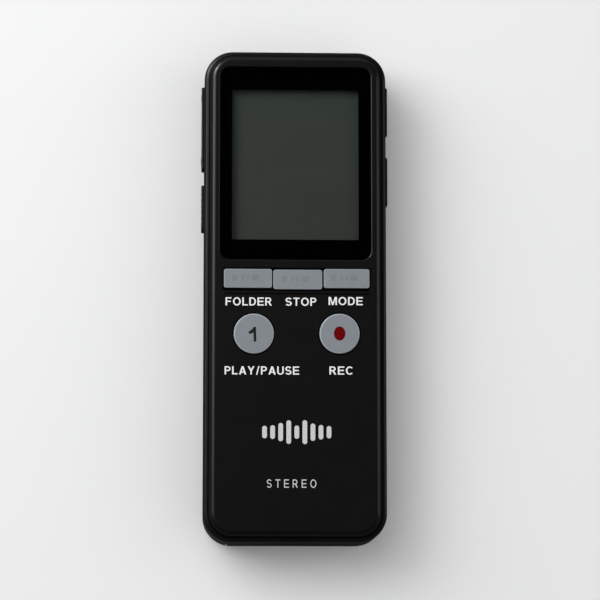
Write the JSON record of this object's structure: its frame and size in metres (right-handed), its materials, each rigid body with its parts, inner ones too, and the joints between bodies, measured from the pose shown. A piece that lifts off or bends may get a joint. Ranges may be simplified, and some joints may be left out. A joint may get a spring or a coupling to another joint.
{
  "type": "portable voice recorder",
  "caption": "Slim pocket sound recorder: display window, press keys, side keys, battery door, sockets and speaker in a three-shell plastic case.",
  "frame": {"origin": "centre of the flat rear face, which the recorder rests on", "axes": "+X to the right of the display, +Y towards the microphone end, +Z out of the display"},
  "size_m": [0.0392, 0.103, 0.0185],
  "materials": {
    "black_case": "satin moulded plastic",
    "window_acrylic": "polished acrylic with a black printed border",
    "black_film": "matt adhesive film",
    "lcd_glass": "grey-green unlit display glass",
    "white_plastic": "plain moulded plastic",
    "grey_key": "satin grey painted plastic",
    "red_dot": "satin red plastic",
    "board_green": "solder resist",
    "chip_black": "moulded epoxy",
    "rubber": "matt rubber",
    "steel": "plated steel",
    "cell_jacket": "plain printed jacket"
  },
  "bodies": {
    "recorder": {"front_cover": "black_case", "middle_frame": "black_case", "rear_cover": "black_case", "case_screw_1": "steel", "case_screw_2": "steel", "case_screw_3": "steel", "case_screw_4": "steel", "display_window": "window_acrylic", "window_gasket": "black_film", "lcd_panel": "lcd_glass", "lcd_holder": "white_plastic", "zebra_strip": "rubber", "main_board": "board_green", "processor_chip": "chip_black", "memory_chip": "chip_black", "switch_folder": "chip_black", "switch_stop": "chip_black", "switch_mode": "chip_black", "switch_play": "chip_black", "switch_record": "chip_black", "switch_previous": "chip_black", "switch_next": "chip_black", "switch_volume_up": "chip_black", "switch_volume_down": "chip_black", "power_switch_body": "steel", "volume_rocker_pin": "steel", "microphone_jack": "chip_black", "headphone_jack": "chip_black", "mic_boot_left": "rubber", "mic_boot_right": "rubber", "mic_capsule_left": "steel", "mic_capsule_right": "steel", "usb_port": "steel", "speaker": "steel", "speaker_cable": "rubber", "battery_tray": "black_case", "battery_cell_left": "cell_jacket", "battery_cell_right": "cell_jacket", "contact_link": "steel", "contact_negative": "steel", "contact_positive": "steel"},
    "folder_key": {"key_folder": "grey_key", "stem_folder": "white_plastic"},
    "stop_key": {"key_stop": "grey_key", "stem_stop": "white_plastic"},
    "mode_key": {"key_mode": "grey_key", "stem_mode": "white_plastic"},
    "play_key": {"key_play": "grey_key", "stem_play": "white_plastic"},
    "record_key": {"key_record": "grey_key", "record_dot": "red_dot", "stem_record": "white_plastic"},
    "previous_key": {"key_previous": "black_case", "stem_previous": "white_plastic"},
    "next_key": {"key_next": "black_case", "stem_next": "white_plastic"},
    "volume_key": {"volume_rocker": "black_case"},
    "power_key": {"power_slider": "black_case", "power_switch_lever": "white_plastic"},
    "door": {"battery_door": "black_case"}
  },
  "joints": [
    {"name": "folder_press", "type": "slide", "parent": "recorder", "child": "folder_key", "axis": [0, 0, -1], "range_m": [0, 0.0004], "stiffness_N_per_m": 900},
    {"name": "stop_press", "type": "slide", "parent": "recorder", "child": "stop_key", "axis": [0, 0, -1], "range_m": [0, 0.0004], "stiffness_N_per_m": 900},
    {"name": "mode_press", "type": "slide", "parent": "recorder", "child": "mode_key", "axis": [0, 0, -1], "range_m": [0, 0.0004], "stiffness_N_per_m": 900},
    {"name": "play_press", "type": "slide", "parent": "recorder", "child": "play_key", "axis": [0, 0, -1], "range_m": [0, 0.0004], "stiffness_N_per_m": 900},
    {"name": "record_press", "type": "slide", "parent": "recorder", "child": "record_key", "axis": [0, 0, -1], "range_m": [0, 0.0004], "stiffness_N_per_m": 900},
    {"name": "previous_press", "type": "slide", "parent": "recorder", "child": "previous_key", "axis": [-1, 0, 0], "range_m": [0, 0.00035], "stiffness_N_per_m": 900},
    {"name": "next_press", "type": "slide", "parent": "recorder", "child": "next_key", "axis": [-1, 0, 0], "range_m": [0, 0.00035], "stiffness_N_per_m": 900},
    {"name": "volume_tilt", "type": "hinge", "parent": "recorder", "child": "volume_key", "pos_m": [-0.01705, 0.0357, 0.0105], "axis": [0, 0, 1], "range_deg": [-2, 2], "stiffness_Nm_per_rad": 0.05},
    {"name": "power_slide", "type": "slide", "parent": "recorder", "child": "power_key", "axis": [0, -1, 0], "range_m": [0, 0.0026]},
    {"name": "door_slide", "type": "slide", "parent": "recorder", "child": "door", "axis": [0, -1, 0], "range_m": [0, 0.056]}
  ]
}
